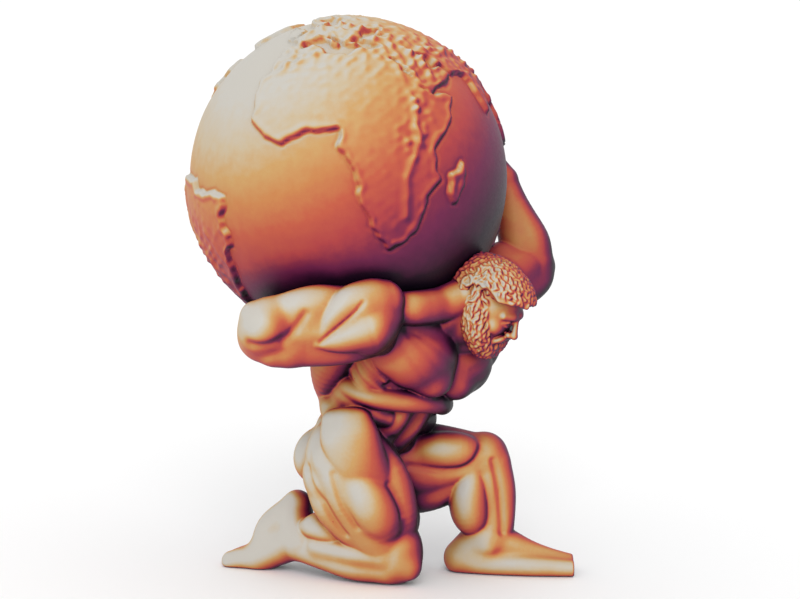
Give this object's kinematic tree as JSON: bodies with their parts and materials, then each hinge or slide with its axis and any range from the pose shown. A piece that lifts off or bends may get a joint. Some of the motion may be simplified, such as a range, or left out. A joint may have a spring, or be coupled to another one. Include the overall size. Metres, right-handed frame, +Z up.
{
  "type": "atlas statuette",
  "caption": "Kneeling bearded strong man in painted cast resin who carries a globe of the world on his neck and shoulders.",
  "frame": {"origin": "middle of the statuette's outline box, at the level of the surface it stands on", "axes": "+Z up; the picture looks along +Y, so +X is its right-hand side, where the head and the left foot are"},
  "size_m": [0.155, 0.1332, 0.2227],
  "materials": {
    "painted_figure": "cast resin with sprayed cream, orange and dark purple paint, satin",
    "painted_globe": "cast resin with sprayed cream, orange and dark purple paint, satin"
  },
  "bodies": {
    "root": {"atlas_figure": "painted_figure", "globe": "painted_globe"}
  },
  "joints": []
}
